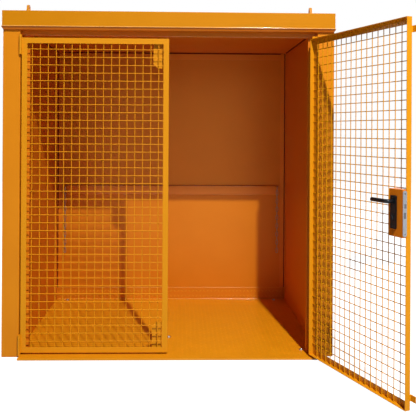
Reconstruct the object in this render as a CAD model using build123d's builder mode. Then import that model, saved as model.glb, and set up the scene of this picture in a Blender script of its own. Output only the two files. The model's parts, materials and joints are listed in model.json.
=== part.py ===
from build123d import *

import os

os.makedirs("parts", exist_ok=True)

# A walk-in steel store for gas cylinders: insulated walls and roof, a tread plate floor and a pair
# of mesh doors. Millimetres, +Z up, front towards -Y. The origin is on the ground, at the middle
# of the floor. The left door is shut and the right door stands open.

# Body
body_width = 2100
body_depth = 1530
wall_thickness = 88
wall_height = 2071
ring_height = 25
ceiling_panel_height = 83
roof_sheet = 3
roof_overhang = 32
fascia_height = 100
drip_height = 17
drip_projection = 7
drip_setback = 4
drip_slope = 35

# Front frame
post_width = 108
post_depth = 60
post_sheet = 3
lintel_height = 37
lintel_depth = 60
lintel_setback = 31
stop_width = 52
stop_return = 45
stop_sheet = 3
stop_clearance = 6

# Floor
plate_thickness = 4
floor_top = 12
floor_lip = 68
floor_lip_clearance = 5
upstand_height = 98
bearer_width = 80
bearer_count = 5
bolt_size = 18
bolt_height = 8
bolt_side_margin = 97
bolt_front = 98
bolt_back_margin = 45
bolt_middle = 372

# Trim of the inside corners
trim_leg = 40
trim_sheet = 3
top_trim_leg = 47
trim_joint = 10

# Chain rail and chains
rail_bottom = 895
rail_height = 78
rail_depth = 30
rail_sheet = 3
rail_end_gap = 56
chain_inset = 16
link_wire = 5
link_inner_length = 35
link_inner_width = 10
link_outer_cut = 5.5
link_inner_cut = 2
link_gap = 0.3
link_count = 16
staple_wire = 5
staple_reach = 14

# Lifting eyes
eye_thickness = 15
eye_height = 60
eye_width = 76
eye_top_radius = 25
eye_hole_radius = 13
eye_side_inset = 135
eye_end_inset = 110

# Doors
door_bottom = 24
door_top_gap = 17
door_gap = 8
door_setback = 9
frame_face = 35
frame_depth = 31
frame_sheet = 3
open_angle = 110.2

# Welded mesh
wire = 5
wire_spacing = 50
wire_sides = 8

# Hinges
hinge_reach = 14
knuckle_radius = 8
pin_radius = 4.5
pin_clearance = 0.05
leaf_thickness = 3
leaf_width = 38
leaf_gap = 2
hinge_height = 125
knuckle_gap = 0.5
hinge_above_door = 18
hinge_below_door = 10

# Bolt plates and stops of the left door
bolt_plate_edge = 40
bolt_plate_width = 60
bolt_plate_height = 186
bolt_plate_sheet = 3
bolt_plate_cut = 28
stop_plate_width = 60
stop_plate_edge = 12
stop_plate_sheet = 6
stop_plate_clearance = 7
stop_plate_drop = 20
stop_plate_rise = 40

# Lock and handle of the right door
lock_width = 110
lock_height = 244
lock_below_lever = 181
lock_back = 50
forend_width = 24
forend_height = 235
handle_plate_edge = 48
handle_plate_width = 42
handle_plate_height = 171
handle_plate_thickness = 10
handle_plate_below_lever = 141
handle_plate_corner = 6
lever_height = 1078
lever_spindle_radius = 5
spindle_clearance = 0.1
lever_radius = 11
lever_reach = 46
lever_length = 132
lever_tip = 5
lever_plate_gap = 1
lever_bend = 14
tab_reach = 35
tab_base = 36
tab_sheet = 4
tab_clearance = 5
tab_height = 34
tab_margin = 46

# Places worked out from the sizes
side = body_width / 2
front = -body_depth / 2
back = body_depth / 2
inner_side = side - wall_thickness
inner_back = back - wall_thickness
post_inner = side - post_width
post_back = front + post_depth
ring_top = wall_height + ring_height
roof_top = ring_top + ceiling_panel_height + roof_sheet
hinge_x = post_inner - leaf_thickness - leaf_gap / 2
hinge_y = front - hinge_reach
door_start = leaf_gap / 2 + leaf_thickness
door_end = hinge_x - door_gap / 2
door_width = door_end - door_start
door_face = hinge_reach + door_setback
door_top = wall_height - lintel_height - door_top_gap
door_height = door_top - door_bottom
upright_wires = int((door_width - 2 * frame_face) / wire_spacing)
cross_wires = int((door_height - 2 * frame_face) / wire_spacing)


def keep(piece, name, place=None):
    """Label a finished piece, put a door's piece at its door, and write it."""
    if place is not None:
        piece.part = piece.part.moved(place)
    piece.part.label = name
    export_step(piece.part, f"parts/{name}.step")


def block(low, high, mode=Mode.ADD):
    """A rectangular block between two opposite corners, in the piece being made."""
    with BuildSketch(Plane.XY.offset(low[2])) as base:
        with Locations(((low[0] + high[0]) / 2, (low[1] + high[1]) / 2)):
            Rectangle(high[0] - low[0], high[1] - low[1])
    extrude(base.sketch, amount=high[2] - low[2], mode=mode)


# Tread plate: a sheet with a folded front edge that runs out between the posts
with BuildPart() as floor_plate:
    with BuildSketch(Plane.YZ):
        with BuildLine():
            Polyline(
                (front - floor_lip, 0),
                (front - floor_lip, floor_top),
                (post_back, floor_top),
                (post_back, floor_top - plate_thickness),
                (front - floor_lip + plate_thickness, floor_top - plate_thickness),
                (front - floor_lip + plate_thickness, 0),
                close=True,
            )
        make_face()
    extrude(amount=post_inner - floor_lip_clearance, both=True)
    with BuildSketch(Plane.XY.offset(floor_top - plate_thickness)):
        with Locations((0, (post_back + inner_back) / 2)):
            Rectangle(inner_side * 2, inner_back - post_back)
    extrude(amount=plate_thickness)
keep(floor_plate, "floor_plate")

# Upstand of the same plate against the foot of the back wall
with BuildPart() as floor_upstand:
    block(
        (-inner_side, inner_back - plate_thickness, floor_top),
        (inner_side, inner_back, floor_top + upstand_height),
    )
keep(floor_upstand, "floor_upstand")

# Flat bars under the plate, lying on the ground
bearer_pitch = (body_depth - wall_thickness - post_depth - bearer_width) / (bearer_count - 1)
with BuildPart() as floor_bearers:
    with BuildSketch():
        with Locations((0, (post_back + inner_back) / 2)):
            with GridLocations(0, bearer_pitch, 1, bearer_count):
                Rectangle(inner_side * 2, bearer_width)
    extrude(amount=floor_top - plate_thickness)
keep(floor_bearers, "floor_bearers")

# Zinc-plated bolts that hold the plate: one at each corner and one in the middle of the front
bolt_x = inner_side - bolt_side_margin
bolt_back = inner_back - bolt_back_margin
with BuildPart() as floor_bolts:
    with BuildSketch(Plane.XY.offset(floor_top)):
        with Locations(
            (-bolt_x, front + bolt_front),
            (bolt_x, front + bolt_front),
            (-bolt_x, bolt_back),
            (bolt_x, bolt_back),
            (0, front + bolt_middle),
        ):
            RegularPolygon(bolt_size / 2, 6, major_radius=False)
    extrude(amount=bolt_height)
keep(floor_bolts, "floor_bolts")

# Walls: insulated panels that stand on the ground
with BuildPart() as back_wall:
    with BuildSketch():
        with Locations((0, (inner_back + back) / 2)):
            Rectangle(body_width, wall_thickness)
    extrude(amount=wall_height)
keep(back_wall, "back_wall")

for name, sign in (("left_wall", -1), ("right_wall", 1)):
    with BuildPart() as side_wall:
        with BuildSketch():
            with Locations((sign * (side + inner_side) / 2, (post_back + inner_back) / 2)):
                Rectangle(wall_thickness, inner_back - post_back)
        extrude(amount=wall_height)
    keep(side_wall, name)

# Front posts: folded box sections from the ground to the roof ring
for name, sign in (("left_post", -1), ("right_post", 1)):
    with BuildPart() as post:
        with BuildSketch():
            with Locations((sign * (side + post_inner) / 2, (front + post_back) / 2)):
                Rectangle(post_width, post_depth)
                offset(amount=-post_sheet, mode=Mode.SUBTRACT)
        extrude(amount=wall_height)
    keep(post, name)

# Ring that ties the tops of the walls and posts and carries the roof
with BuildPart() as roof_ring:
    with BuildSketch(Plane.XY.offset(wall_height)):
        Rectangle(body_width - 2 * roof_sheet, body_depth)
        with Locations((0, (post_back + inner_back) / 2)):
            Rectangle(inner_side * 2, inner_back - post_back, mode=Mode.SUBTRACT)
    extrude(amount=ring_height)
keep(roof_ring, "roof_ring")

# Door lintel, hung under the ring and set back behind the posts
with BuildPart() as lintel:
    with BuildSketch(Plane.YZ):
        with BuildLine():
            Polyline(
                (front + lintel_setback, wall_height - lintel_height),
                (front + lintel_setback, wall_height),
                (front + lintel_setback + lintel_depth, wall_height),
                (front + lintel_setback + lintel_depth, wall_height - lintel_height),
                close=True,
            )
        make_face()
    extrude(amount=post_inner, both=True)
    with BuildSketch(Plane.YZ):
        with Locations(
            (front + lintel_setback + lintel_depth / 2, wall_height - lintel_height / 2)
        ):
            Rectangle(lintel_depth - 2 * post_sheet, lintel_height - 2 * post_sheet)
    extrude(amount=post_inner, both=True, mode=Mode.SUBTRACT)
keep(lintel, "lintel")

# Roof: a panel over the ring, in a folded steel cap with a deep fascia
cap_front = front - roof_overhang
cap_depth = back - cap_front + roof_sheet
with BuildPart() as ceiling_panel:
    with BuildSketch(Plane.XY.offset(ring_top)):
        Rectangle(body_width - 2 * roof_sheet, body_depth)
    extrude(amount=ceiling_panel_height)
keep(ceiling_panel, "ceiling_panel")

with BuildPart() as roof_cap:
    with BuildSketch(Plane.XY.offset(roof_top - fascia_height)):
        with Locations((0, cap_front + cap_depth / 2)):
            Rectangle(body_width, cap_depth)
    extrude(amount=fascia_height)
    cap_bottom = roof_cap.faces().sort_by(Axis.Z)[0]
    offset(amount=-roof_sheet, openings=cap_bottom)
keep(roof_cap, "roof_cap")

# Drip edge: the strip under the fascia, proud of it at the sides and sloping back to its foot
drip_top = roof_top - fascia_height
with BuildPart() as drip_edge:
    strip_middle = (cap_front + drip_setback + back) / 2
    with BuildSketch(Plane(origin=(0, strip_middle, drip_top), z_dir=(0, 0, -1))):
        Rectangle(body_width + 2 * drip_projection, back - cap_front - drip_setback)
    extrude(amount=drip_height, taper=drip_slope)
    with BuildSketch(Plane.XY.offset(drip_top - drip_height)):
        Rectangle(body_width, body_depth)
    extrude(amount=drip_height, mode=Mode.SUBTRACT)
keep(drip_edge, "drip_edge")

# Door stops: folded strips on the inside of the posts
for name, sign in (("left_stop", -1), ("right_stop", 1)):
    stop_front = front + door_setback + frame_depth + stop_clearance
    with BuildPart() as stop:
        with BuildSketch(Plane.XY.offset(floor_top)):
            with BuildLine():
                Polyline(
                    (sign * post_inner, stop_front),
                    (sign * (post_inner - stop_width), stop_front),
                    (sign * (post_inner - stop_width), stop_front + stop_return),
                    (sign * (post_inner - stop_width + stop_sheet), stop_front + stop_return),
                    (sign * (post_inner - stop_width + stop_sheet), stop_front + stop_sheet),
                    (sign * post_inner, stop_front + stop_sheet),
                    close=True,
                )
            make_face()
        extrude(amount=wall_height - lintel_height - floor_top)
    keep(stop, name)

# Angles down both back corners, and a cover strip along the top of the back wall
with BuildPart() as corner_trims:
    for sign in (-1, 1):
        with BuildSketch(Plane.XY.offset(floor_top + upstand_height)):
            with BuildLine():
                Polyline(
                    (sign * inner_side, inner_back),
                    (sign * inner_side, inner_back - trim_leg),
                    (sign * (inner_side - trim_sheet), inner_back - trim_leg),
                    (sign * (inner_side - trim_sheet), inner_back - trim_sheet),
                    (sign * (inner_side - trim_leg), inner_back - trim_sheet),
                    (sign * (inner_side - trim_leg), inner_back),
                    close=True,
                )
            make_face()
        extrude(amount=ring_top - floor_top - upstand_height)
keep(corner_trims, "corner_trims")

top_trim_half = inner_side - trim_leg
with BuildPart() as top_trim:
    block(
        (-top_trim_half, inner_back - trim_sheet, ring_top - trim_joint - top_trim_leg),
        (top_trim_half, inner_back, ring_top - trim_joint),
    )
keep(top_trim, "top_trim")

# Rail for the securing chains: a folded channel across the back wall
rail_half = inner_side - rail_end_gap
with BuildPart() as chain_rail:
    with BuildSketch(Plane.YZ):
        with BuildLine():
            Polyline(
                (inner_back, rail_bottom),
                (inner_back - rail_depth, rail_bottom),
                (inner_back - rail_depth, rail_bottom + rail_height),
                (inner_back, rail_bottom + rail_height),
                (inner_back, rail_bottom + rail_height - rail_sheet),
                (inner_back - rail_depth + rail_sheet, rail_bottom + rail_height - rail_sheet),
                (inner_back - rail_depth + rail_sheet, rail_bottom + rail_sheet),
                (inner_back, rail_bottom + rail_sheet),
                close=True,
            )
        make_face()
    extrude(amount=rail_half, both=True)
keep(chain_rail, "chain_rail")

# Staples on the rail and the chains that hang from them
chain_x = rail_half - chain_inset
staple_front = inner_back - rail_depth - staple_reach - staple_wire
staple_z = rail_bottom + rail_height - 2 * staple_wire
link_length = link_inner_length + 2 * link_wire
link_width = link_inner_width + 2 * link_wire
link_pitch = link_inner_length - link_gap


def link_outline(length, width, cut):
    """Outline of a link, with its corners cut."""
    with BuildLine() as outline:
        Polyline(
            (-width / 2, length / 2 - cut),
            (-width / 2 + cut, length / 2),
            (width / 2 - cut, length / 2),
            (width / 2, length / 2 - cut),
            (width / 2, -length / 2 + cut),
            (width / 2 - cut, -length / 2),
            (-width / 2 + cut, -length / 2),
            (-width / 2, -length / 2 + cut),
            close=True,
        )
    return outline.line


with BuildPart() as chain_staples:
    for sign in (-1, 1):
        with BuildSketch(Plane.XY.offset(staple_z)):
            with Locations((sign * chain_x, inner_back - rail_depth - (staple_reach + staple_wire) / 2)):
                Rectangle(link_width + 2 * staple_wire, staple_reach + staple_wire)
            with Locations((sign * chain_x, inner_back - rail_depth - staple_reach / 2)):
                Rectangle(link_width, staple_reach, mode=Mode.SUBTRACT)
        extrude(amount=staple_wire)
keep(chain_staples, "chain_staples")

chain_y = staple_front + staple_wire / 2
chain_top = staple_z + staple_wire + link_gap - link_inner_length / 2
for name, sign in (("left_chain", -1), ("right_chain", 1)):
    with BuildPart() as chain:
        for index in range(link_count):
            centre = (sign * chain_x, chain_y, chain_top - index * link_pitch)
            across = (1, 0, 0) if index % 2 else (0, 1, 0)
            normal = (0, -1, 0) if index % 2 else (1, 0, 0)
            with BuildSketch(Plane(origin=centre, x_dir=across, z_dir=normal)):
                make_face(link_outline(link_length, link_width, link_outer_cut).edges())
                make_face(
                    link_outline(link_inner_length, link_inner_width, link_inner_cut).edges(),
                    mode=Mode.SUBTRACT,
                )
            extrude(amount=link_wire / 2, both=True)
    keep(chain, name)

# Lifting eyes near the roof's corners
hole_height = eye_height - eye_top_radius
eye_x = side - eye_side_inset
with BuildPart() as lifting_eyes:
    for sign in (-1, 1):
        for eye_y in (front + eye_end_inset, back - eye_end_inset):
            base = Plane(
                origin=(sign * eye_x - eye_thickness / 2, eye_y, roof_top),
                x_dir=(0, 1, 0),
                z_dir=(1, 0, 0),
            )
            with BuildSketch(base):
                with BuildLine():
                    foot = Line((-eye_width / 2, 0), (eye_width / 2, 0))
                    Line(foot @ 1, (eye_top_radius, hole_height))
                    CenterArc((0, hole_height), eye_top_radius, 0, 180)
                    Line((-eye_top_radius, hole_height), foot @ 0)
                make_face()
                with Locations((0, hole_height)):
                    Circle(eye_hole_radius, mode=Mode.SUBTRACT)
            extrude(amount=eye_thickness)
keep(lifting_eyes, "lifting_eyes")

# Catches that the left door shuts against, one under the lintel and one on the floor
stop_plate_front = front + door_setback + frame_depth + bolt_plate_sheet + stop_plate_clearance
with BuildPart() as door_catches:
    block(
        (-stop_plate_edge - stop_plate_width, stop_plate_front, door_top - stop_plate_drop),
        (-stop_plate_edge, stop_plate_front + stop_plate_sheet, wall_height - lintel_height),
    )
    block(
        (-stop_plate_edge - stop_plate_width, stop_plate_front, floor_top),
        (-stop_plate_edge, stop_plate_front + stop_plate_sheet, floor_top + stop_plate_rise),
    )
keep(door_catches, "door_catches")


# The doors are drawn shut, from their hinge axis: X is the reach along the door, times sign, which
# is 1 for the left door and -1 for the right one. Y is the depth behind the axis.
def angle_outline(sign, edge, inward):
    """An L of frame_face by frame_depth: its face leg in front, its other leg at the door's edge."""
    with BuildLine() as outline:
        Polyline(
            (sign * edge, door_face),
            (sign * (edge + inward * frame_face), door_face),
            (sign * (edge + inward * frame_face), door_face + frame_sheet),
            (sign * (edge + inward * frame_sheet), door_face + frame_sheet),
            (sign * (edge + inward * frame_sheet), door_face + frame_depth),
            (sign * edge, door_face + frame_depth),
            close=True,
        )
    return outline.line


door_middle = (door_start + door_end) / 2
mesh_front = door_face + frame_sheet
mesh_middle = door_bottom + door_height / 2
wire_reach = (door_width - 2 * frame_sheet) / 2
wire_rise = (door_height - 2 * frame_sheet) / 2


def stile(sign, edge, inward):
    """An upright of the frame, mitred at both ends where the rails meet it."""
    with BuildPart() as upright:
        with BuildSketch(Plane.XY.offset(door_bottom)):
            make_face(angle_outline(sign, edge, inward).edges())
        extrude(amount=door_height)
        for height, rise in ((door_bottom, 1), (door_top, -1)):
            with BuildSketch(Plane.XZ):
                with BuildLine():
                    Polyline(
                        (sign * edge, height),
                        (sign * (edge + inward * frame_face), height + rise * frame_face),
                        (sign * (edge + inward * frame_face), height),
                        close=True,
                    )
                make_face()
            extrude(amount=-(door_face + frame_depth), mode=Mode.SUBTRACT)
    return upright


def rail(sign, edge, inward):
    """A level bar of the frame, mitred at both ends to meet the stiles."""
    with BuildPart() as level:
        with BuildSketch(Plane.YZ.offset(sign * door_start)):
            with BuildLine():
                Polyline(
                    (door_face, edge),
                    (door_face, edge + inward * frame_face),
                    (door_face + frame_sheet, edge + inward * frame_face),
                    (door_face + frame_sheet, edge + inward * frame_sheet),
                    (door_face + frame_depth, edge + inward * frame_sheet),
                    (door_face + frame_depth, edge),
                    close=True,
                )
            make_face()
        extrude(amount=sign * door_width)
        for corner, run in ((door_start, 1), (door_end, -1)):
            with BuildSketch(Plane.XZ):
                with BuildLine():
                    Polyline(
                        (sign * corner, edge),
                        (sign * (corner + run * frame_face), edge + inward * frame_face),
                        (sign * corner, edge + inward * frame_face),
                        close=True,
                    )
                make_face()
            extrude(amount=-(door_face + frame_depth), mode=Mode.SUBTRACT)
    return level


def mesh_uprights(sign, lock_space=None):
    """The standing wires of the mesh, in the inner layer, from rail to rail, cut round the lock."""
    flat_turn = 180 / wire_sides
    with BuildPart() as wires:
        with BuildSketch(Plane.XY.offset(door_bottom + frame_sheet)):
            with Locations((sign * door_middle, mesh_front + wire * 1.5)):
                with GridLocations(wire_spacing, 0, upright_wires, 1):
                    RegularPolygon(wire / 2, wire_sides, major_radius=False, rotation=flat_turn)
        extrude(amount=2 * wire_rise)
        if lock_space:
            block(*lock_space, mode=Mode.SUBTRACT)
    return wires


def mesh_crosswires(sign, lock_space=None):
    """The level wires of the mesh, in the outer layer, from stile to stile, cut round the lock."""
    flat_turn = 180 / wire_sides
    with BuildPart() as wires:
        with BuildSketch(Plane.YZ.offset(sign * door_middle)):
            with Locations((mesh_front + wire / 2, mesh_middle)):
                with GridLocations(0, wire_spacing, 1, cross_wires):
                    RegularPolygon(wire / 2, wire_sides, major_radius=False, rotation=flat_turn)
        extrude(amount=wire_reach, both=True)
        if lock_space:
            block(*lock_space, mode=Mode.SUBTRACT)
    return wires


knuckle_height = (hinge_height - 2 * knuckle_gap) / 3
hinge_bottoms = (door_bottom - hinge_below_door, door_top + hinge_above_door - hinge_height)


def post_hinges(sign):
    """Hinge halves on the post: a leaf, the two outer knuckles and the pin through all three."""
    with BuildPart() as halves:
        for bottom in hinge_bottoms:
            with BuildSketch(Plane.XY.offset(bottom)):
                Circle(knuckle_radius)
            extrude(amount=hinge_height)
            with BuildSketch(Plane.XY.offset(bottom)):
                with Locations((-sign * (leaf_gap + leaf_thickness) / 2, leaf_width / 2)):
                    Rectangle(leaf_thickness, leaf_width)
            extrude(amount=hinge_height)
            with BuildSketch(Plane.XY.offset(bottom + knuckle_height)):
                Circle(knuckle_radius + knuckle_gap)
                Circle(pin_radius, mode=Mode.SUBTRACT)
            extrude(amount=knuckle_height + 2 * knuckle_gap, mode=Mode.SUBTRACT)
    return halves


def door_hinges(sign):
    """Hinge halves on the door: a leaf and the middle knuckle, bored for the pin."""
    with BuildPart() as halves:
        for bottom in hinge_bottoms:
            middle_bottom = bottom + knuckle_height + knuckle_gap
            with BuildSketch(Plane.XY.offset(bottom)):
                with Locations((sign * (leaf_gap + leaf_thickness) / 2, leaf_width / 2)):
                    Rectangle(leaf_thickness, leaf_width)
            extrude(amount=hinge_height)
            with BuildSketch(Plane.XY.offset(middle_bottom)):
                Circle(knuckle_radius)
            extrude(amount=knuckle_height)
            for space_bottom in (bottom, middle_bottom + knuckle_height):
                with BuildSketch(Plane.XY.offset(space_bottom)):
                    Circle(knuckle_radius + knuckle_gap)
                extrude(amount=knuckle_height + knuckle_gap, mode=Mode.SUBTRACT)
            with BuildSketch(Plane.XY.offset(middle_bottom)):
                Circle(pin_radius + pin_clearance)
            extrude(amount=knuckle_height, mode=Mode.SUBTRACT)
    return halves


left_place = Location((-hinge_x, hinge_y, 0))
right_open = Location((hinge_x, hinge_y, 0), (0, 0, open_angle))

# The lock case of the right door fills this box, behind its mesh's front plane
lock_bottom = lever_height - lock_below_lever
lock_back_face = door_face + lock_back
lock_box = (
    (-door_end + frame_sheet, mesh_front, lock_bottom),
    (-door_end + lock_width, lock_back_face, lock_bottom + lock_height),
)

for door, sign, place, lock_space in (
    ("left_door", 1, left_place, None),
    ("right_door", -1, right_open, lock_box),
):
    keep(stile(sign, door_start, 1), f"{door}_hinge_stile", place)
    keep(rail(sign, door_top, -1), f"{door}_top_rail", place)
    keep(rail(sign, door_bottom, 1), f"{door}_bottom_rail", place)
    keep(mesh_uprights(sign, lock_space), f"{door}_mesh_uprights", place)
    keep(mesh_crosswires(sign, lock_space), f"{door}_mesh_crosswires", place)
    keep(door_hinges(sign), f"{door}_hinges", place)
keep(stile(1, door_end, -1), "left_door_lock_stile", left_place)
keep(post_hinges(1), "left_post_hinges", left_place)
keep(post_hinges(-1), "right_post_hinges", Location((hinge_x, hinge_y, 0)))

# Bolt plates of the left door: gussets on the back of the frame near its free corners
plate_back = door_face + frame_depth
plate_far = door_end - bolt_plate_edge
plate_near = plate_far - bolt_plate_width
with BuildPart() as bolt_plates:
    for rail_z, rise in ((door_top, -1), (door_bottom, 1)):
        with BuildSketch(Plane.XZ.offset(-plate_back)):
            with BuildLine():
                Polyline(
                    (plate_near, rail_z),
                    (plate_far, rail_z),
                    (plate_far, rail_z + rise * bolt_plate_height),
                    (plate_near + bolt_plate_cut, rail_z + rise * bolt_plate_height),
                    (plate_near, rail_z + rise * (bolt_plate_height - bolt_plate_cut)),
                    close=True,
                )
            make_face()
        extrude(amount=-bolt_plate_sheet)
keep(bolt_plates, "left_door_bolt_plates", left_place)

# Lock stile of the right door, notched for the lock's faceplate
forend_front = lock_back_face - forend_width
lock_stile = stile(-1, door_end, -1)
with lock_stile:
    block(
        (-door_end, forend_front, lock_bottom),
        (-door_end + frame_sheet, door_face + frame_depth, lock_bottom + lock_height),
        mode=Mode.SUBTRACT,
    )
keep(lock_stile, "right_door_lock_stile", right_open)

# Lock case behind the mesh, seated on the stile's edge leg, bored for the spindle
spindle_x = -door_end + handle_plate_edge + handle_plate_width / 2
spindle_hole = lever_spindle_radius + spindle_clearance
with BuildPart() as lock_case:
    block(*lock_box)
    with BuildSketch(Plane.XZ.offset(-lock_back_face)):
        with Locations((spindle_x, lever_height)):
            Circle(spindle_hole)
    extrude(amount=lock_back_face, mode=Mode.SUBTRACT)
keep(lock_case, "right_door_lock_case", right_open)

# Faceplate on the door's edge, with rounded ends
with BuildPart() as lock_faceplate:
    with BuildSketch(Plane.YZ.offset(-door_end)):
        with Locations((forend_front + forend_width / 2, lock_bottom + lock_height / 2)):
            SlotOverall(forend_height, forend_width, rotation=90)
    extrude(amount=frame_sheet)
keep(lock_faceplate, "right_door_lock_faceplate", right_open)

# Handle plates on both faces: on the lock case inside, on the mesh outside
plate_middle = lever_height - handle_plate_below_lever + handle_plate_height / 2
with BuildPart() as handle_plates:
    for plate_front in (lock_back_face, mesh_front - handle_plate_thickness):
        with BuildSketch(Plane.XZ.offset(-plate_front)):
            with Locations((spindle_x, plate_middle)):
                RectangleRounded(handle_plate_width, handle_plate_height, handle_plate_corner)
            with Locations((spindle_x, lever_height)):
                Circle(spindle_hole, mode=Mode.SUBTRACT)
        extrude(amount=-handle_plate_thickness)
keep(handle_plates, "right_door_handle_plates", right_open)

# Lever handle: a bent bar on each face, joined by the spindle
inner_neck = lock_back_face + handle_plate_thickness + lever_plate_gap
outer_neck = mesh_front - handle_plate_thickness - lever_plate_gap
with BuildPart() as lever_handle:
    for neck, out in ((inner_neck, 1), (outer_neck, -1)):
        bar_depth = neck + out * (lever_reach - lever_radius)
        with BuildLine():
            bar = FilletPolyline(
                (spindle_x, neck, lever_height),
                (spindle_x, bar_depth, lever_height),
                (spindle_x + lever_length, bar_depth, lever_height),
                radius=lever_bend,
            )
        with BuildSketch(Plane(origin=bar @ 0, z_dir=bar % 0)):
            Circle(lever_radius)
        sweep()
    tips = lever_handle.faces().filter_by(GeomType.PLANE).group_by(Axis.X)[-1]
    chamfer(tips.edges(), length=lever_tip)
    with BuildSketch(Plane.XZ.offset(-inner_neck)):
        with Locations((spindle_x, lever_height)):
            Circle(lever_spindle_radius)
    extrude(amount=inner_neck - outer_neck)
keep(lever_handle, "lever_handle", right_open)

# Cover tabs on the lock stile's face: cranked forward so that they pass the shut left door
tab_front = door_face - tab_clearance - tab_sheet
with BuildPart() as cover_tabs:
    for tab_bottom in (door_bottom + tab_margin, door_top - tab_margin - tab_height):
        with BuildSketch(Plane.XY.offset(tab_bottom)):
            with BuildLine():
                Polyline(
                    (-door_end + tab_base, door_face),
                    (-door_end + tab_base, door_face - tab_sheet),
                    (-door_end + tab_sheet, door_face - tab_sheet),
                    (-door_end + tab_sheet, tab_front),
                    (-door_end - tab_reach, tab_front),
                    (-door_end - tab_reach, tab_front + tab_sheet),
                    (-door_end, tab_front + tab_sheet),
                    (-door_end, door_face),
                    close=True,
                )
            make_face()
        extrude(amount=tab_height)
keep(cover_tabs, "right_door_cover_tabs", right_open)
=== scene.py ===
# %% [markdown]
# # A gas cylinder container
# This is a steel store that a person walks into to fetch gas cylinders. Its walls and roof are
# insulated panels, its floor is tread plate, and two mesh doors close its front.
#
# The solids come from the CAD model and stay where they are. This lesson dresses them: it sets up
# the camera and the light, mixes the paint and the metals, and builds the small things that the CAD
# solids leave plain, such as round wires, chain links, screws and the tread.

# %% Load the frame
import json
import math

import bmesh
import bpy
from mathutils import Matrix, Vector


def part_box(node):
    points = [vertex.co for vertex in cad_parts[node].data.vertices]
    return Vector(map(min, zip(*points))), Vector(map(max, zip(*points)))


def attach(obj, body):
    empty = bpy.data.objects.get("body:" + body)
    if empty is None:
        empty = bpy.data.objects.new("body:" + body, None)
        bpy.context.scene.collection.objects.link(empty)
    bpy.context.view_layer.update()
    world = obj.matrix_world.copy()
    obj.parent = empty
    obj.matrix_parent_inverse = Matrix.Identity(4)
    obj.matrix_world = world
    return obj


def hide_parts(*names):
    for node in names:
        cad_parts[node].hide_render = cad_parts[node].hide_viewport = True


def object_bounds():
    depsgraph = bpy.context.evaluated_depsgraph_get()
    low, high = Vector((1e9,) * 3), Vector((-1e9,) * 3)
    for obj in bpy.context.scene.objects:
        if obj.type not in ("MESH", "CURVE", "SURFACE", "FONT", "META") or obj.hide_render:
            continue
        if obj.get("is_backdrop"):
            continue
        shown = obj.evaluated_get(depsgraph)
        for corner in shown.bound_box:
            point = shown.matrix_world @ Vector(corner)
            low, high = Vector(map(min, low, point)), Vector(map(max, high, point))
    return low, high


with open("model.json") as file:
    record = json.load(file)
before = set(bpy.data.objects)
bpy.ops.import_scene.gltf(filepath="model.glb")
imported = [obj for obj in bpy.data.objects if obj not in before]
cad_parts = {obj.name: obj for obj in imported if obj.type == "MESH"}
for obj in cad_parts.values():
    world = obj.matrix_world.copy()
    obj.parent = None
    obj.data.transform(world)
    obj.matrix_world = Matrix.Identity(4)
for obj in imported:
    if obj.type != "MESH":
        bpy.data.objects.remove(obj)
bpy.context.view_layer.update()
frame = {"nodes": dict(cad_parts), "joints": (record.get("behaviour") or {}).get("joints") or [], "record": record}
scene = bpy.context.scene
nodes = frame["nodes"]

# %% [markdown]
# ## The camera
# The picture was taken with a lens that was shifted down, so that the upright edges stay parallel
# while the eye is at head height. Blender has the same trick: the camera looks level, and its shift
# moves the frame. A tilted camera would make the posts lean. The place, the lens and the small turn
# come from fitting the corners of the posts, the roof and the back wall.

# %% Place the camera
picture = 416
focal_pixels = 674.645
centre_pixel = (196.98, 131.637)
film_width = 36
eye = Vector((0.0691, -5.0463, 1.4265))
turn, nod, lean = 0.025, 0.0004, 0.0057

ahead = Vector((math.sin(turn) * math.cos(nod), math.cos(turn) * math.cos(nod), math.sin(nod)))
level = Vector((math.cos(turn), -math.sin(turn), 0))
above = level.cross(ahead)
right = level * math.cos(lean) + above * math.sin(lean)
above = right.cross(ahead)

camera_data = bpy.data.cameras.new("camera")
camera = bpy.data.objects.new("camera", camera_data)
scene.collection.objects.link(camera)
facing_frame = Matrix((right, above, -ahead)).transposed().to_4x4()
camera.matrix_world = Matrix.Translation(eye) @ facing_frame
camera_data.sensor_width = film_width
camera_data.lens = film_width * focal_pixels / picture
camera_data.shift_x = (picture / 2 - centre_pixel[0]) / picture
camera_data.shift_y = (centre_pixel[1] - picture / 2) / picture
camera_data.clip_end = 100
scene.camera = camera
print("lens", round(camera_data.lens, 2), "mm, shift", round(camera_data.shift_y, 3))

# %% [markdown]
# ## The lamps
# One small, strong lamp hangs high in front of the right door and draws the crisp, slanting shadows
# on the back wall and the floor. It is near, so that the shadows spread as they do in the picture.
# A near lamp would burn out the top of the front, so it looks straight down and a little away, and
# the front gets only its slanting light, which is even from top to bottom. A wide, weak lamp opens
# up the shade. Two more stand behind and are only for the back and the sides.

# %% Hang the lamps
def lamp(name, place, target, size, watts):
    """A rectangular lamp that points at a target."""
    data = bpy.data.lights.new(name, "AREA")
    data.shape = "RECTANGLE"
    data.size, data.size_y = size
    data.energy = watts
    made = bpy.data.objects.new(name, data)
    scene.collection.objects.link(made)
    made.location = place
    made.rotation_euler = (Vector(target) - Vector(place)).to_track_quat("-Z", "Y").to_euler()


lamp("key_lamp", (1.49, -6.26, 6.65), (1.49, -7.43, 0), (0.16, 0.16), 1400)
lamp("sky_lamp", (2.78, -9.2, 3.94), (0.3, 0.7, 1.3), (2.1, 2.9), 20)
for name, x, watts in (("back_lamp_left", -5.5, 420), ("back_lamp_right", 5.5, 260)):
    lamp(name, (x, 6, 4), (0, 0.7, 1.1), (2, 2), watts)

# %% [markdown]
# ## White surroundings
# A studio is white all round, and glossy paint shows it. Here the surroundings are white to the
# camera and in reflections, but they light the object with far less, so that the paint keeps its
# depth. The Light Path node tells the two apart. The Standard view transform leaves the white white.

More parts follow.
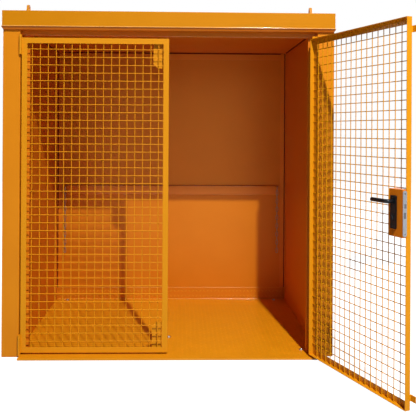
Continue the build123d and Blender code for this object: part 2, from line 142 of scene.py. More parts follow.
# %% Whiten the surroundings
def camera_white(tree):
    """A value of 1 for what the camera, a reflection or a see-through surface looks at."""
    path = tree.nodes.new("ShaderNodeLightPath")
    seen = path.outputs["Is Camera Ray"]
    for ray in ("Is Glossy Ray", "Is Transmission Ray"):
        either = tree.nodes.new("ShaderNodeMath")
        either.operation = "MAXIMUM"
        tree.links.new(seen, either.inputs[0])
        tree.links.new(path.outputs[ray], either.inputs[1])
        seen = either.outputs[0]
    return seen


scene.view_settings.view_transform = "Standard"
soft_strength = 0.04
world = bpy.data.worlds.new("studio")
scene.world = world
world.use_nodes = True
tree = world.node_tree
soft = tree.nodes["Background"]
soft.inputs["Color"].default_value = (1, 1, 1, 1)
soft.inputs["Strength"].default_value = soft_strength
white = tree.nodes.new("ShaderNodeBackground")
white.inputs["Color"].default_value = (1, 1, 1, 1)
blend = tree.nodes.new("ShaderNodeMixShader")
tree.links.new(camera_white(tree), blend.inputs[0])
tree.links.new(soft.outputs[0], blend.inputs[1])
tree.links.new(white.outputs[0], blend.inputs[2])
tree.links.new(blend.outputs[0], tree.nodes["World Output"].inputs["Surface"])
print("the surroundings light the object with", soft_strength, "of their white")

# %% [markdown]
# ## The ground
# The container stands on pale ground that runs into the white. The ground is matt grey, which
# takes the shadow, and a glow that only the camera sees lifts it to white. A plain white floor
# would throw too much light up into the paint.

# %% Lay the ground
reach, depth = 14, 0.0006
grey, glow_share = 0.3, 0.965
ground_mesh = bpy.data.meshes.new("ground")
ground_corners = [(reach * x, reach * y, -depth) for x, y in ((-1, -1), (1, -1), (1, 1), (-1, 1))]
ground_mesh.from_pydata(ground_corners, [], [(0, 1, 2, 3)])
ground = bpy.data.objects.new("ground", ground_mesh)
scene.collection.objects.link(ground)
ground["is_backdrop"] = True

ground_paint = bpy.data.materials.new("ground")
ground_paint.use_nodes = True
tree = ground_paint.node_tree
matt = tree.nodes["Principled BSDF"]
matt.inputs["Base Color"].default_value = (grey, grey, grey, 1)
matt.inputs["Roughness"].default_value = 0.9
glow = tree.nodes.new("ShaderNodeEmission")
add = tree.nodes.new("ShaderNodeAddShader")
share = tree.nodes.new("ShaderNodeMath")
share.operation = "MULTIPLY"
share.inputs[1].default_value = glow_share
tree.links.new(camera_white(tree), share.inputs[0])
tree.links.new(share.outputs[0], glow.inputs["Strength"])
tree.links.new(matt.outputs[0], add.inputs[0])
tree.links.new(glow.outputs[0], add.inputs[1])
tree.links.new(add.outputs[0], tree.nodes["Material Output"].inputs["Surface"])
ground_mesh.materials.append(ground_paint)
print("the ground is", 2 * reach, "m wide")

# %% [markdown]
# ## Noise
# Nothing that is sprayed, rolled or plated is quite even. A noise texture gives that unevenness as a
# cloud of values, and its scale says how fine it is: 4 drifts over a quarter of a metre, and 900 is
# finer than the eye can part from the doorway. It needs no picture file, and it never repeats.

# %% Make noise
drift_detail, grain_detail = 4, 2
grain_scale, grain_strength, grain_lift = 900, 0.6, 0.00004


def noise(tree, where, scale, detail):
    """A cloud of noise, from 0 to 1."""
    made = tree.nodes.new("ShaderNodeTexNoise")
    made.inputs["Scale"].default_value = scale
    made.inputs["Detail"].default_value = detail
    tree.links.new(where, made.inputs["Vector"])
    return made.outputs["Fac"]


print("the grain lifts the surface by", grain_lift * 1000, "mm")

# %% [markdown]
# ## A finish
# Every surface here is a coating with a fine grain, so one helper mixes them all. A slow cloud of
# noise moves the colour and the gloss a little, as a sprayed coat does. A fine noise lifts the
# surface by a fraction of a millimetre: in paint it is the orange peel that breaks up a reflection.
# The noise reads the object's own metres, so the grain has its real size on every piece and turns
# with a door.

# %% Mix a finish
tone_ends = (0.3, 0.7)
gloss_drift = 0.05


def finish(name, dark, light, rough, metal=0.0, cloud=4.0, stretch=(1, 1, 1), shine=0.5):
    """A coated surface: colour drifting between two tones, with a fine raised grain."""
    material = bpy.data.materials.new(name)
    material.use_nodes = True
    tree = material.node_tree
    shader = tree.nodes["Principled BSDF"]
    shader.inputs["Metallic"].default_value = metal
    shader.inputs["Specular IOR Level"].default_value = shine
    place = tree.nodes.new("ShaderNodeTexCoord")
    scaled = tree.nodes.new("ShaderNodeMapping")
    scaled.inputs["Scale"].default_value = stretch
    tree.links.new(place.outputs["Object"], scaled.inputs["Vector"])

    drift = noise(tree, scaled.outputs[0], cloud, drift_detail)
    tones = tree.nodes.new("ShaderNodeValToRGB")
    for stop, position, colour in zip(tones.color_ramp.elements, tone_ends, (dark, light)):
        stop.position = position
        stop.color = (*colour, 1)
    tree.links.new(drift, tones.inputs["Fac"])
    tree.links.new(tones.outputs["Color"], shader.inputs["Base Color"])

    gloss = tree.nodes.new("ShaderNodeMapRange")
    gloss.inputs["To Min"].default_value = rough - gloss_drift
    gloss.inputs["To Max"].default_value = rough + gloss_drift
    tree.links.new(drift, gloss.inputs["Value"])
    tree.links.new(gloss.outputs[0], shader.inputs["Roughness"])

    raised = tree.nodes.new("ShaderNodeBump")
    raised.inputs["Strength"].default_value = grain_strength
    raised.inputs["Distance"].default_value = grain_lift
    grain = noise(tree, scaled.outputs[0], grain_scale, grain_detail)
    tree.links.new(grain, raised.inputs["Height"])
    tree.links.new(raised.outputs["Normal"], shader.inputs["Normal"])
    return material


print("a finish drifts by", gloss_drift, "in roughness")

# %% [markdown]
# ## The paints
# The container is sprayed in one yellow-orange, but each group of pieces has its own mix of it,
# and some mixes are painted light. The side walls, the ceiling and the other parts that lie in shade
# get a redder mix, a painted shade. The roof cap's mix is darker, a painted shade against the
# strong lamp light at the top. The trims and the rail get a lighter mix, and the folds a lighter,
# glossier one: painted highlights, with real gloss on the folds. The back wall, the trims and the
# rail face the doorway and show a sheen of it in the colour of the paint, so they are a little
# metallic. The mesh of the right door, which has the white behind it, is the most matt one, and its
# mix is yellower, a painted highlight for the lamp light on its wires.

# %% Mix the paints
satin = 0.38
orange_paint = finish("orange_paint", (0.64, 0.245, 0.004), (0.67, 0.26, 0.005), satin, shine=0.15)
wire_paint = finish("wire_paint", (0.70, 0.265, 0.003), (0.74, 0.285, 0.005), satin, shine=0.15)
# A yellower mix for the open door's wires: a painted highlight for the lamp light on them.
wire_paint_sunlit = finish("wire_paint_sunlit", (0.64, 0.27, 0.003), (0.68, 0.29, 0.005), 0.5,
                           shine=0.02)
post_paint = finish("post_paint", (0.65, 0.21, 0.004), (0.68, 0.225, 0.005), satin, shine=0.15)
# A redder mix for the shaded inside and the parts under the roof: painted shade.
shade_paint = finish("shade_paint", (0.64, 0.165, 0.003), (0.67, 0.18, 0.004), satin, shine=0.2)
# A darker mix for the roof cap: a painted shade against the strong lamp light at the top.
cap_shade_paint = finish("cap_shade_paint", (0.57, 0.205, 0.003), (0.60, 0.22, 0.004), satin, shine=0.08)
tread_paint = finish("tread_paint", (0.66, 0.243, 0.003), (0.71, 0.268, 0.004), satin, cloud=9,
                     shine=0.3)

sheen = 0.24
sheen_paint = finish("sheen_paint", (0.63, 0.182, 0.004), (0.66, 0.197, 0.006), 0.36, metal=sheen,
                     shine=0.22)
# A lighter mix for the trims and the rail: a painted highlight.
trim_highlight_paint = finish("trim_highlight_paint", (0.69, 0.195, 0.004), (0.73, 0.215, 0.006), 0.3, metal=sheen,
                    shine=0.3)
# A lighter, glossier mix for folds, the hem and the welds: a painted highlight, with real gloss.
fold_highlight_paint = finish("fold_highlight_paint", (0.74, 0.30, 0.015), (0.79, 0.35, 0.03), 0.15, shine=1.0)
print("paints:", [m.name for m in bpy.data.materials if m.name.endswith(("paint", "sunlit"))])

# %% [markdown]
# ## Metal, plastic and sealant
# The bolts are zinc plated. The chains are dull steel, tinted brown as a painted reflection of the
# orange walls round them. The faceplate of the lock is brushed: its cloud is stretched into fine
# strokes that run up the plate. The handle is black plastic, and the joints between the panels are
# closed with a matt sealant, mixed dark as a painted shade for the groove at each joint.

# %% Mix the metals, the plastic and the sealant
zinc = finish("zinc", (0.40, 0.41, 0.42), (0.58, 0.59, 0.60), satin, metal=1.0, cloud=160)
# The brown tint of the chains is a painted reflection of the orange walls.
chain_reflection_steel = finish("chain_reflection_steel", (0.28, 0.22, 0.15), (0.40, 0.32, 0.23), 0.45, metal=0.8,
                     cloud=160)
brushed_steel = finish("brushed_steel", (0.26, 0.28, 0.31), (0.37, 0.39, 0.43), 0.32, metal=1.0,
                       cloud=40, stretch=(40, 40, 1))
bolt_steel = finish("bolt_steel", (0.11, 0.115, 0.13), (0.17, 0.175, 0.19), 0.4, metal=1.0,
                    cloud=60)
dark_steel = finish("dark_steel", (0.015, 0.016, 0.018), (0.03, 0.03, 0.035), 0.55, metal=1.0,
                    cloud=60)
black_plastic = finish("black_plastic", (0.002, 0.003, 0.004), (0.004, 0.005, 0.007), 0.33,
                       cloud=30, shine=0.25)
# The sealant is mixed dark: a painted shade for the groove at each panel joint.
joint_shade_sealant = finish("joint_shade_sealant", (0.12, 0.010, 0.002), (0.16, 0.014, 0.003), 0.6, cloud=30,
                       shine=0.1)
print("metals:", [m.name for m in bpy.data.materials if m.name.endswith(("zinc", "steel"))])

# %% [markdown]
# ## Coat the solids
# Each solid first gets the coat that its row in the record names. Then the pieces with a mix of
# their own get that one. So a solid that is added later is never bare.

# %% Coat the CAD solids
coats = {"orange_paint": orange_paint, "tread_plate": tread_paint, "zinc": zinc,
         "black_handle": black_plastic}
own_coats = (
    # The pieces that lie in shade get the redder mix, a painted shade.
    (shade_paint, ("left_wall", "right_wall", "ceiling_panel", "roof_ring", "lintel", "drip_edge",
                  "left_stop", "right_stop", "right_door_lock_case")),
    # The trims get the lighter mix, a painted highlight.
    (trim_highlight_paint, ("corner_trims", "top_trim")),
    (sheen_paint, ("back_wall", "floor_upstand")),
    (post_paint, ("left_post", "right_post")),
    # The roof cap gets the darker mix, a painted shade.
    (cap_shade_paint, ("roof_cap",)),
    (brushed_steel, ("right_door_lock_faceplate",)),
)
slot_of = {row["node"]: row["material_slot"] for row in frame["record"]["subparts"]}
for name, node in nodes.items():
    node.data.materials.clear()
    node.data.materials.append(coats[slot_of[name]])
for coat, names in own_coats:
    for name in names:
        nodes[name].data.materials[0] = coat
print("solids with a coat of their own:", sum(len(names) for _, names in own_coats))

# %% [markdown]
# ## Soft edges on folded sheet
# A folded or rolled edge is never sharp: it has a small radius that catches the light as a thin
# bright line. The CAD solids have sharp edges, to keep them light. A Weld modifier joins their
# corners, and a Bevel modifier after it rounds each sharp edge. Modifiers leave the solid itself as
# it is, so this is safe on a CAD node. The upstand and the lintel get a lighter, glossier paint on
# their folds: a painted highlight along each fold, besides the real gloss.

# %% Round the edges of the CAD solids
weld_distance, bevel_steps, sharp_angle = 0.00002, 2, math.radians(40)
highlight_folds = ("floor_upstand", "lintel")
frame_bars = [f"{door}_{bar}" for door in ("left_door", "right_door")
              for bar in ("hinge_stile", "lock_stile", "top_rail", "bottom_rail")]
fold_radii = {
    0.004: ("left_post", "right_post", "roof_cap"),
    0.0025: ("floor_upstand",),
    0.0012: ("floor_plate", "drip_edge", "lintel", "lifting_eyes", "right_door_lock_case",
             "door_catches", "right_door_handle_plates"),
    0.0006: ("left_stop", "right_stop", "corner_trims", "top_trim", "left_door_bolt_plates",
             "right_door_cover_tabs", "right_door_lock_faceplate", *frame_bars),
}


def soften(name, radius):
    """Round the sharp edges of a CAD node by a radius in metres."""
    node = nodes[name]
    join = node.modifiers.new("join", "WELD")
    join.merge_threshold = weld_distance
    edge = node.modifiers.new("edge", "BEVEL")
    edge.width = radius
    edge.segments = bevel_steps
    edge.limit_method = "ANGLE"
    edge.angle_limit = sharp_angle
    edge.use_clamp_overlap = True
    # These folds get the lighter paint, a painted highlight.
    if name in highlight_folds:
        node.data.materials.append(fold_highlight_paint)
        edge.material = 1


for radius, names in fold_radii.items():
    for name in names:
        soften(name, radius)
print("softened:", sum(len(names) for names in fold_radii.values()), "nodes")

# %% [markdown]
# ## A new piece
# The rest of the lesson builds new pieces from plain mesh code. Each one is finished the same way:
# its faces are turned outward, it is shaded smooth except at sharp corners, and it rides on the
# body of the container that carries it, so that a mesh or a screw turns with its door.

# %% Finish a piece
usual_corner = 35


def piece(name, work, body, material, corner=usual_corner):
    """Turn a bmesh into an object that rides on a body, smooth except at sharp corners."""
    bmesh.ops.recalc_face_normals(work, faces=work.faces)
    mesh = bpy.data.meshes.new(name)
    work.to_mesh(mesh)
    work.free()
    mesh.shade_smooth()
    mesh.set_sharp_from_angle(angle=math.radians(corner))
    mesh.materials.append(material)
    made = bpy.data.objects.new(name, mesh)
    scene.collection.objects.link(made)
    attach(made, body)
    print(name, "has", len(mesh.polygons), "faces")
    return made


print("corners over", usual_corner, "degrees stay sharp, unless a piece says otherwise")

# %% [markdown]
# ## The places of the doors
# A door is easiest to build in its own axes: X runs along the door, Y into its depth and Z up, with
# the hinge pin at zero. The left door is shut. The right one stands open, so its axes are turned by
# the angle between this pose and shut, which the joint's range tells.

# %% Find the doors
joints = {joint["name"]: joint for joint in frame["joints"]}
open_angle = -joints["right_door_hinge"]["range_deg"][0]
door_place = {
    "left_door": Matrix.Translation(joints["left_door_hinge"]["pos_m"]),
    "right_door": Matrix.Translation(joints["right_door_hinge"]["pos_m"])
    @ Matrix.Rotation(math.radians(open_angle), 4, "Z"),
}
right_place = door_place["right_door"]
print("the right door stands open by", open_angle, "degrees")

# %% [markdown]
# ## The place of each wire and link
# One CAD node holds all the wires of a mesh, or all the links of a chain. To put a round wire just
# where its solid is, the node is taken apart into its loose lumps, and each lump is measured in the
# axes of its door. So the wires follow when the CAD model changes.

# %% Take a node apart
def islands(name, place=Matrix.Identity(4)):
    """Lowest and highest corner of each loose lump of a CAD node, in a place's own axes."""
    work = bmesh.new()
    work.from_mesh(nodes[name].data)
    bmesh.ops.remove_doubles(work, verts=work.verts, dist=0.00001)
    inverse = place.inverted()
    left, boxes = set(work.verts), []
    while left:
        group, waiting = set(), [left.pop()]
        while waiting:
            vert = waiting.pop()
            group.add(vert)
            for edge in vert.link_edges:
                other = edge.other_vert(vert)
                if other in left:
                    left.discard(other)
                    waiting.append(other)
        points = [inverse @ v.co for v in group]
        boxes.append((Vector(map(min, *points)), Vector(map(max, *points))))
    work.free()
    return sorted(boxes, key=lambda box: [round(n, 4) for n in box[0]])


mesh_lumps = {
    door: [islands(f"{door}_mesh_{layer}", place) for layer in ("uprights", "crosswires")]
    for door, place in door_place.items()}
for door, (uprights, crosswires) in mesh_lumps.items():
    print(door, "has", len(uprights), "uprights and", len(crosswires), "level wires")

# %% [markdown]
# ## A swept tube
# Wires, links and weld beads are all the same form: a circle carried along a path. The helper lays
# a ring of points square to the path at each of its points and joins the rings. Where a path
# closes, the last ring is matched to the first, so that the tube has no twist at the seam.

# %% Sweep a tube
def tube(work, path, radius, sides=8, closed=False):
    """Sweep a ring along a path. An open tube gets flat ends."""
    path = [Vector(p) for p in path]
    count = len(path)
    rings, side = [], None
    for i, point in enumerate(path):
        before = path[i - 1] if i or closed else point
        after = path[(i + 1) % count] if i < count - 1 or closed else point
        along = (after - before).normalized()
        side = side or along.orthogonal()
        side = (side - along * side.dot(along)).normalized()
        up = along.cross(side)
        angles = [2 * math.pi * k / sides for k in range(sides)]
        rings.append([work.verts.new(point + (side * math.cos(a) + up * math.sin(a)) * radius)
                      for a in angles])
    for i in range(count if closed else count - 1):
        first, second = rings[i], rings[(i + 1) % count]
        shift = 0
        if closed and i == count - 1:
            shift = min(range(sides), key=lambda s: (first[0].co - second[s].co).length)
        for k in range(sides):
            n = (k + 1) % sides
            work.faces.new((first[k], first[n], second[(n + shift) % sides],
                            second[(k + shift) % sides]))
    if not closed:
        work.faces.new(list(reversed(rings[0])))
        work.faces.new(rings[-1])


trial = bmesh.new()
tube(trial, [(0, 0, 0), (0, 0, 1)], 0.1)
print("a straight tube has", len(trial.faces), "faces")
trial.free()

# %% [markdown]
# ## The welded mesh
# The doors are filled with welded mesh: 5 mm wires, standing ones on the inside and level ones on
# the outside, fused where they cross. The CAD wires have eight flat sides, which is enough for a
# collision, but the light shows the flats. Here each wire is swept again with round sides in the
# same place, and a small nugget of metal sits at each crossing, as the spot welder leaves it.

# %% Sweep the wires
wire_sides, nugget_radius = 10, 0.0031
# The open door's wires get the yellower mix, a painted highlight.
mesh_paint = {"left_door": wire_paint, "right_door": wire_paint_sunlit}
for door, place in door_place.items():
    work = bmesh.new()
    uprights, crosswires = mesh_lumps[door]
    for low, high in uprights:
        x, y = (low.x + high.x) / 2, (low.y + high.y) / 2
        ends = [place @ Vector((x, y, z)) for z in (low.z, high.z)]
        tube(work, ends, (high.x - low.x) / 2, wire_sides)
    for low, high in crosswires:
        y, z = (low.y + high.y) / 2, (low.z + high.z) / 2
        ends = [place @ Vector((x, y, z)) for x in (low.x, high.x)]
        tube(work, ends, (high.z - low.z) / 2, wire_sides)
    crossings = 0
    for low, high in uprights:
        x = (low.x + high.x) / 2
        for level_low, level_high in crosswires:
            z = (level_low.z + level_high.z) / 2
            if level_low.x < x < level_high.x and low.z < z < high.z:
                spot = Matrix.Translation(place @ Vector((x, low.y, z)))
                bmesh.ops.create_icosphere(work, subdivisions=1, radius=nugget_radius, matrix=spot)
                crossings += 1
    wires = piece(f"{door}_mesh", work, door, mesh_paint[door], corner=60)
    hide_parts(f"{door}_mesh_uprights", f"{door}_mesh_crosswires")
    print(door, "has", crossings, "welds")

# %% [markdown]
# ## The chains
# A chain hangs at each end of the rail, to hold the cylinders back. A real link is a bent round
# wire, two straight sides and two half circles. The CAD links are cut from flat bar with their
# corners off. Each is swept again in its place, so the chain still hangs the same way.

# %% Bend the links
link_wire, link_steps = 0.005, 7


def bent_link(work, low, high):
    """A round link that fills the box of its flat one."""
    middle = (low + high) / 2
    across = Vector((0, 1, 0)) if high.x - low.x < high.y - low.y else Vector((1, 0, 0))
    arc_radius = (high - low).dot(across) / 2 - link_wire / 2
    straight = (high.z - low.z) / 2 - link_wire / 2 - arc_radius
    path = []
    for end in (1, -1):
        for k in range(link_steps):
            a = math.pi * k / (link_steps - 1)
            out, up = arc_radius * math.cos(a) * end, end * (straight + arc_radius * math.sin(a))
            path.append(middle + across * out + Vector((0, 0, up)))
    tube(work, path, link_wire / 2, closed=True)


for side in ("left", "right"):
    work = bmesh.new()
    links = islands(f"{side}_chain")
    for low, high in links:
        bent_link(work, low, high)
    chain = piece(f"{side}_chain_links", work, "container", chain_reflection_steel, corner=60)
    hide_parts(f"{side}_chain")
    print(side, "chain has", len(links), "links")

# %% [markdown]
# ## The staples
# Each chain hangs from a staple, a round bar that is bent into a U and welded to the rail. The CAD
# staple has square corners. The swept one has its corners cut once, which is enough at this size.

# %% Bend the staples
staple_corner = 0.004
work = bmesh.new()
for low, high in islands("chain_staples"):
    r, z = link_wire / 2, (low.z + high.z) / 2
    left_x, right_x, front_y = low.x + r, high.x - r, low.y + r
    tube(work, [(left_x, high.y, z), (left_x, front_y + staple_corner, z),
                (left_x + staple_corner, front_y, z), (right_x - staple_corner, front_y, z),
                (right_x, front_y + staple_corner, z), (right_x, high.y, z)], r, 10)
staples = piece("chain_staple_bars", work, "container", orange_paint, corner=60)
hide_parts("chain_staples")

# %% [markdown]
# ## The rail
# The rail is a channel folded from 3 mm sheet, and a press brake leaves a round bend at each fold.
# A bevel can't be wider than the sheet is thick, so the channel is swept here with its real bends.
# The bends get a lighter, glossier paint, a painted highlight with real gloss, and they draw two bright lines
# along the rail.

# %% Fold the rail
bend_points = 5


def bend(centre, radius, start, end):
    """Points of an arc in the Y-Z plane, with its angles in degrees."""
    step = (end - start) / (bend_points - 1)
    turns = [math.radians(start + step * k) for k in range(bend_points)]
    return [(centre[0] + radius * math.cos(a), centre[1] + radius * math.sin(a)) for a in turns]


rail_low, rail_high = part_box("chain_rail")
rail_sheet, outer_bend = 0.003, 0.006
inner_bend = outer_bend - rail_sheet
top_centre = (rail_low.y + outer_bend, rail_high.z - outer_bend)
foot_centre = (rail_low.y + outer_bend, rail_low.z + outer_bend)
outside, inside = (
    [(rail_high.y, rail_high.z - inset), *bend(top_centre, radius, 90, 180),
     *bend(foot_centre, radius, 180, 270), (rail_high.y, rail_low.z + inset)]
    for radius, inset in ((outer_bend, 0), (inner_bend, rail_sheet)))
flat_strips = (0, bend_points, 2 * bend_points)

work = bmesh.new()
ends = [[[work.verts.new((x, y, z)) for y, z in line] for line in (outside, inside)]
        for x in (rail_low.x, rail_high.x)]
(outer_left, inner_left), (outer_right, inner_right) = ends
for k in range(len(outside) - 1):
    skin = work.faces.new((outer_left[k], outer_left[k + 1], outer_right[k + 1], outer_right[k]))
    skin.material_index = 0 if k in flat_strips else 1
    work.faces.new((inner_left[k + 1], inner_left[k], inner_right[k], inner_right[k + 1]))
    work.faces.new((outer_left[k + 1], outer_left[k], inner_left[k], inner_left[k + 1]))
    work.faces.new((outer_right[k], outer_right[k + 1], inner_right[k + 1], inner_right[k]))
for k in (0, len(outside) - 1):
    work.faces.new((outer_left[k], outer_right[k], inner_right[k], inner_left[k]))
# The rail's flat faces get the lighter trim mix, a painted highlight.
rail = piece("chain_rail_channel", work, "container", trim_highlight_paint)
# The bends get the lighter fold paint, a painted highlight.
rail.data.materials.append(fold_highlight_paint)
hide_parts("chain_rail")
print("rail face:", round((rail_high.z - rail_low.z) * 1000), "mm high")

# %% [markdown]
# ## The hem
# The lower edge of the roof cap is turned over into a hem, which stiffens it and leaves no sharp
# edge. The fold stands a little proud of the sheet, so its rounded top catches the lamp as a bright
# line across the front. It is swept here as a bead along the front and both sides, in the lighter
# fold paint, a painted highlight on top of the real glint. At the back the sheet lies flush, so that
# the container can stand against a wall.

# %% Turn the hem
cap_low, cap_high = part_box("roof_cap")
hem_radius, hem_proud = 0.003, 0.002
inset = hem_radius - hem_proud
hem_z = cap_low.z + hem_radius
left_x, right_x, front_y = cap_low.x + inset, cap_high.x - inset, cap_low.y + inset
corners = [(left_x, cap_high.y, hem_z), (left_x, front_y, hem_z),
           (right_x, front_y, hem_z), (right_x, cap_high.y, hem_z)]
work = bmesh.new()
for start, end in zip(corners, corners[1:]):
    tube(work, [start, end], hem_radius, 12)
# The hem gets the lighter fold paint, a painted highlight.
piece("roof_cap_hem", work, "container", fold_highlight_paint, corner=60)
print("the hem stands", round(hem_proud * 1000), "mm proud of the cap")

# %% [markdown]
# ## Joint sealant
# Insulated panels meet at open joints, which are closed with a bead of sealant so that no damp gets
# into the filling. The bead is pressed into the corner with a wet finger, which leaves it hollow.
# Its dark colour is a painted shade for the groove at the joint, and it shows as a dark line where the walls meet
# each other and the ceiling.

# %% Press in the sealant
bead_points = 5


def bead(work, start, end, first, second, leg):
    """A hollow fillet in a corner, from start to end, with its two legs along first and second."""
    start, end, first, second = (Vector(v) for v in (start, end, first, second))
    turns = [math.pi / 2 * k / (bead_points - 1) for k in range(bead_points)]
    profile = [Vector()] + [first * leg * (1 - math.sin(a)) + second * leg * (1 - math.cos(a))
                            for a in turns]
    rings = [[work.verts.new(point + offset) for offset in profile] for point in (start, end)]
    work.faces.new(rings[0])
    work.faces.new(list(reversed(rings[1])))
    for k in range(len(profile)):
        n = (k + 1) % len(profile)
        work.faces.new((rings[0][k], rings[1][k], rings[1][n], rings[0][n]))


corner_leg, side_leg, back_leg = 0.0065, 0.008, 0.0095
trim_low, trim_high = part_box("corner_trims")
strip_low, strip_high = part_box("top_trim")
sheet = strip_high.y - strip_low.y
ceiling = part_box("ceiling_panel")[0].z
post_low, post_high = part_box("right_post")
root_y = trim_high.y - sheet
work = bmesh.new()
for side in (-1, 1):
    root_x, wall_x = side * (trim_high.x - sheet), side * trim_high.x
    bead(work, (root_x, root_y, trim_low.z), (root_x, root_y, trim_high.z),
         (-side, 0, 0), (0, -1, 0), corner_leg)
    bead(work, (wall_x, post_high.y, ceiling), (wall_x, trim_low.y, ceiling),
         (-side, 0, 0), (0, 0, -1), side_leg)
bead(work, (trim_low.x, trim_high.y, ceiling), (trim_high.x, trim_high.y, ceiling),
     (0, -1, 0), (0, 0, -1), back_leg)
piece("panel_shade_sealant", work, "container", joint_shade_sealant, corner=50)

# %% [markdown]
# ## A tear
# Tread plate is rolled with rows of low, pointed ridges, called tears. A bump map would look right
# from above but flat at the low angle of the doorway, so each tear is a small roof of six faces.

# %% Shape a tear
tear_length, tear_width, tear_height = 0.024, 0.007, 0.0016
foot_share, top_share = 0.22, 0.2


def tear(work, centre, along, across, up):
    """One raised ridge, pointed at both ends."""
    ends = [work.verts.new(centre + along * (s * tear_length / 2)) for s in (-1, 1)]
    low = [work.verts.new(centre + along * (s * tear_length * foot_share)
                          + across * (t * tear_width / 2))
           for s, t in ((-1, -1), (1, -1), (1, 1), (-1, 1))]
    top = [work.verts.new(centre + along * (s * tear_length * top_share) + up * tear_height)
           for s in (-1, 1)]
    work.faces.new((low[0], low[1], top[1], top[0]))
    work.faces.new((low[2], low[3], top[0], top[1]))
    work.faces.new((ends[0], low[0], top[0]))
    work.faces.new((low[3], ends[0], top[0]))
    work.faces.new((low[1], ends[1], top[1]))
    work.faces.new((ends[1], low[2], top[1]))


print("a tear is", tear_length * 1000, "mm long and", tear_height * 1000, "mm high")

# %% [markdown]
# ## The tread
# The tears lie across each other in turn, so that a boot or a trolley wheel grips in every
# direction. They cover the floor from wall to wall and go up the strip that is folded against the
# back wall. The front strip, where the doors pass, is plain.

# %% Roll the tread
tread_pitch, first_row = 0.031, -0.752
back_margin, wall_margin, tread_margin, post_margin = 0.01, 0.012, 0.015, 0.06
stand_rise, stand_spacing = 0.026, 1.3
floor_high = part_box("floor_plate")[1]
stand_low, stand_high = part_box("floor_upstand")
rows = int((stand_low.y - back_margin - first_row) / tread_pitch)
columns = int((stand_high.x - wall_margin) / tread_pitch)
work = bmesh.new()
count = 0
for row in range(rows + 1):
    y = first_row + row * tread_pitch
    behind_posts = y > post_high.y + tread_margin
    limit = stand_high.x - tread_margin if behind_posts else post_low.x - post_margin
    for column in range(-columns, columns + 1):
        x = column * tread_pitch
        if abs(x) > limit:
            continue
        along = Vector((1, 1 if (row + column) % 2 else -1, 0)).normalized()
        across = Vector((-along.y, along.x, 0))
        tear(work, Vector((x, y, floor_high.z)), along, across, Vector((0, 0, 1)))
        count += 1
for row in range(2):
    z = stand_low.z + stand_rise + row * tread_pitch * stand_spacing
    for column in range(-columns, columns + 1):
        along = Vector((1, 0, 1 if (row + column) % 2 else -1)).normalized()
        across = Vector((-along.z, 0, along.x))
        tear(work, Vector((column * tread_pitch, stand_low.y, z)), along, across,
             Vector((0, -1, 0)))
        count += 1
piece("floor_tread", work, "container", tread_paint, corner=50)
print("tears:", count)

# %% [markdown]
# ## The stitch welds
# The folded strip is fixed to the plate by a row of short weld beads at its foot. Under gloss paint
# each bead shows as a small bright dash, so they are swept one by one. The beads get the lighter
# fold paint, a painted highlight as well as real gloss.

# %% Lay the stitch welds
stitch_pitch, stitch_length, stitch_radius, stitch_out = 0.024, 0.015, 0.003, 0.0008
stitches = int(stand_high.x / stitch_pitch) - 1
y, z = stand_low.y - stitch_out, floor_high.z + stitch_out
work = bmesh.new()
for k in range(-stitches, stitches + 1):
    x = k * stitch_pitch
    tube(work, [(x - stitch_length / 2, y, z), (x + stitch_length / 2, y, z)], stitch_radius, 10)
# The welds get the lighter fold paint, a painted highlight.
piece("upstand_stitch_welds", work, "container", fold_highlight_paint, corner=50)
print("stitches:", 2 * stitches + 1)

# %% [markdown]
# ## The floor bolts
# The plate is held by zinc-plated hexagon bolts on washers. Both are turned parts, so a profile is
# spun round the axis of the bolt. The hexagon is the same with six sides and a chamfer.

# %% Fit the floor bolts
def turned(work, profile, place, sides=16):
    """Spin (radius, height) points round the Z axis of a place. The profile ends on the axis."""
    rings = []
    for radius, height in profile:
        angles = [2 * math.pi * k / sides for k in range(sides)] if radius else [0]
        points = [Vector((radius * math.cos(a), radius * math.sin(a), height)) for a in angles]
        rings.append([work.verts.new(place @ point) for point in points])
    for first, second in zip(rings, rings[1:]):
        for k in range(sides):
            n = (k + 1) % sides
            if len(second) == 1:
                work.faces.new((first[k], first[n], second[0]))
            else:
                work.faces.new((first[k], first[n], second[n], second[k]))


washer = [(0.0145, 0), (0.0145, 0.0016), (0.0138, 0.0022), (0, 0.0022)]
corner_share, chamfer_share = 1.12, 0.98
head_foot, chamfer_foot, head_top = 0.002, 0.0068, 0.008
work = bmesh.new()
bolt_boxes = islands("floor_bolts")
for low, high in bolt_boxes:
    place = Matrix.Translation(((low.x + high.x) / 2, (low.y + high.y) / 2, low.z))
    turned(work, washer, place, 24)
    flats = (high.y - low.y) / 2
    head = [(flats * corner_share, head_foot), (flats * corner_share, chamfer_foot),
            (flats * chamfer_share, head_top), (0, head_top)]
    turned(work, head, place, 6)
bolts = piece("floor_bolt_heads", work, "container", zinc, corner=25)
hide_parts("floor_bolts")
print("floor bolts:", len(bolt_boxes))

# %% [markdown]
# ## The screws
# The faceplate of the lock and both handle plates are held by small screws with a domed head and a
# recess. They are spun as well, each with its axis square to the plate. The plates are measured in
# the door's own axes, and the screws sit in from their ends by a fixed step.

# %% Fit the screws
screw_form = [(1, 0), (1, 0.25), (0.8, 0.5), (0.45, 0.62), (0.36, 0.3), (0, 0.3)]
faceplate_step, handle_step = 0.016, 0.014


def facing(point, direction):
    """A place at a point of the right door whose Z axis looks along a direction of that door."""
    towards = right_place.to_3x3() @ Vector(direction)
    turned_to = towards.to_track_quat("Z", "Y").to_matrix().to_4x4()
    return Matrix.Translation(right_place @ Vector(point)) @ turned_to


def screw(work, place, radius):
    """A dome-headed screw with a round recess."""
    turned(work, [(radius * r, radius * h) for r, h in screw_form], place, 14)


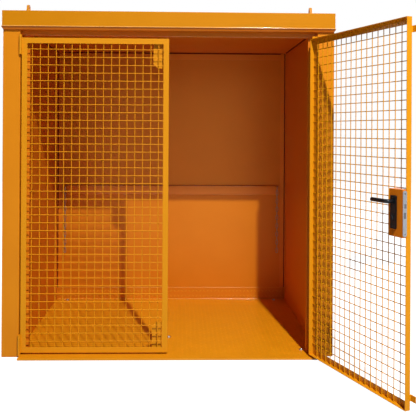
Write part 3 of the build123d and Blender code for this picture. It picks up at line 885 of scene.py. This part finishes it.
plate_low, plate_high = islands("right_door_lock_faceplate", right_place)[0]
plate_y = (plate_low.y + plate_high.y) / 2
work = bmesh.new()
for z in (plate_low.z + faceplate_step, plate_high.z - faceplate_step):
    screw(work, facing((plate_low.x, plate_y, z), (-1, 0, 0)), 0.0042)
piece("faceplate_screws", work, "right_door", bolt_steel)

handle_plates = []
for low, high in islands("right_door_handle_plates", right_place):
    way = 1 if (low.y + high.y) / 2 > plate_low.y else -1
    handle_plates.append(((low.x + high.x) / 2, high.y if way > 0 else low.y, way, low.z, high.z))
work = bmesh.new()
for x, y, way, foot, top in handle_plates:
    for z in (foot + handle_step, top - handle_step):
        screw(work, facing((x, y, z), (0, way, 0)), 0.004)
piece("handle_plate_screws", work, "right_door", black_plastic)

# %% [markdown]
# ## The lock cylinder
# The key goes into a profile cylinder below the lever: a short round barrel with a tail. It is
# small, but it is what tells a reader that this is a lock and not a box.

# %% Build the lock cylinder
cylinder_drop, tail_out, tail_radius = 0.072, 0.0004, 0.005
tail_ends = (0.004, 0.021)
barrel = [(0.0085, 0), (0.0085, 0.0024), (0.0078, 0.003), (0.0072, 0.003), (0.0068, 0.0022),
          (0, 0.0022)]
cylinder_z = joints["lever_pivot"]["pos_m"][2] - cylinder_drop
work = bmesh.new()
for x, y, way, foot, top in handle_plates:
    turned(work, barrel, facing((x, y, cylinder_z), (0, way, 0)), 24)
    tail = [right_place @ Vector((x, y + way * tail_out, cylinder_z - drop)) for drop in tail_ends]
    tube(work, tail, tail_radius, 12)
piece("lock_cylinders", work, "right_door", dark_steel)
print("the key goes in", round(cylinder_z, 3), "m above the ground")

# %% [markdown]
# ## The latch and the deadbolt
# On the door's edge the latch and the deadbolt look out of the steel faceplate. The latch stands
# out and is slanted, so that the door pushes it in as it shuts. The deadbolt is drawn back and is
# nearly flush.

# %% Build the latch and the deadbolt
latch = (0.090, 0.068, 0.0045)
deadbolt = (0.142, 0.112, 0.0012)
half_depth, root, slant_out, slant_in = 0.006, 0.001, 0.001, 0.004
work = bmesh.new()
for foot, top, out in (latch, deadbolt):
    x0, x1 = plate_low.x - out, plate_low.x + root
    y0, y1 = plate_y - half_depth, plate_y + half_depth
    outline = [(x0, y0), (x0, y1), (x1, y1), (x1, y0)]
    if (foot, top, out) == latch:
        outline[1] = (x0 + slant_out, y0 + slant_in)
    rings = [[work.verts.new(right_place @ Vector((x, y, plate_high.z - drop))) for x, y in outline]
             for drop in (foot, top)]
    work.faces.new(rings[0])
    work.faces.new(list(reversed(rings[1])))
    for k in range(4):
        n = (k + 1) % 4
        work.faces.new((rings[0][k], rings[0][n], rings[1][n], rings[1][k]))
piece("latch_and_bolt", work, "right_door", bolt_steel, corner=20)

# %% [markdown]
# ## Measure
# The box that the dressed model fills is measured. The dressed model has to stay in the box of
# the CAD model.

# %% Measure the dressed model
low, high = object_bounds()
